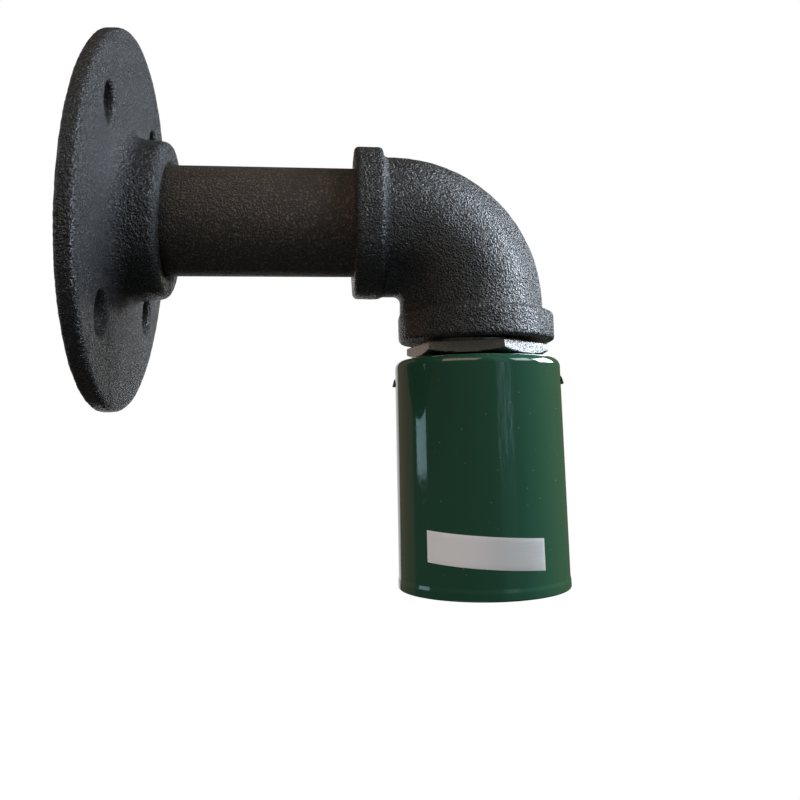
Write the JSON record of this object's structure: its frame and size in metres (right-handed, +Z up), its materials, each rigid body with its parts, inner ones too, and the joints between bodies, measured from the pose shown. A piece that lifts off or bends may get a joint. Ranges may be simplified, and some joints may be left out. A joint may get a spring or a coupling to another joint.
{
  "type": "industrial pipe wall light",
  "caption": "Pipe wall light: a round cast flange and short pipe carry a banded elbow, from which an enamelled lamp cup with a screw lampholder hangs.",
  "frame": {"origin": "centre of the flange's back face, on the wall and on the pipe's axis", "axes": "+X runs out of the wall along the pipe, +Z is up, and the lamp cup hangs down along -Z"},
  "size_m": [0.1078, 0.09, 0.1296],
  "materials": {
    "cast_iron": "black lacquered sand casting, satin",
    "black_pipe": "satin black lacquered steel tube",
    "bright_plate": "turned steel, nickel plated",
    "zinc_plate": "zinc plated steel",
    "green_enamel": "gloss",
    "black_rubber": "matte",
    "white_nylon": "satin",
    "porcelain": "gloss",
    "brass": "satin",
    "tin_plate": "tinned copper, satin",
    "cable_sheath": "satin",
    "lead_brown": "satin",
    "lead_blue": "satin",
    "lead_green": "satin, green with a yellow stripe"
  },
  "bodies": {
    "wall_base": {"wall_flange": "cast_iron", "pipe_nipple": "black_pipe"},
    "elbow_arm": {"elbow": "cast_iron", "supply_cable": "cable_sheath"},
    "lamp_head": {"hex_bushing": "bright_plate", "threaded_tube": "zinc_plate", "tube_bush": "white_nylon", "seal_washer": "black_rubber", "lamp_cup": "green_enamel", "holder_bracket": "zinc_plate", "star_washer": "zinc_plate", "lock_nut": "zinc_plate", "earth_tag": "tin_plate", "earth_screw": "zinc_plate", "bracket_screws": "zinc_plate", "holder_body": "porcelain", "screw_shell": "brass", "contact_foot": "brass", "contact_rivets": "brass", "live_terminal": "brass", "neutral_terminal": "brass", "terminal_screws": "zinc_plate", "live_lead": "lead_brown", "neutral_lead": "lead_blue", "earth_lead": "lead_green"},
    "contact_tongue": {"centre_contact": "brass"}
  },
  "joints": [
    {"name": "elbow_swivel", "type": "hinge", "parent": "wall_base", "child": "elbow_arm", "pos_m": [0.0575, 0, 0], "axis": [1, 0, 0], "range_deg": [-90, 90]},
    {"name": "head_turn", "type": "hinge", "parent": "elbow_arm", "child": "lamp_head", "pos_m": [0.0873, 0, -0.0298], "axis": [0, 0, 1], "range_deg": [-180, 180]},
    {"name": "contact_spring", "type": "hinge", "parent": "lamp_head", "child": "contact_tongue", "pos_m": [0.0899, 0, -0.0572], "axis": [0, 1, 0], "range_deg": [0, 8], "stiffness_Nm_per_rad": 0.2}
  ]
}
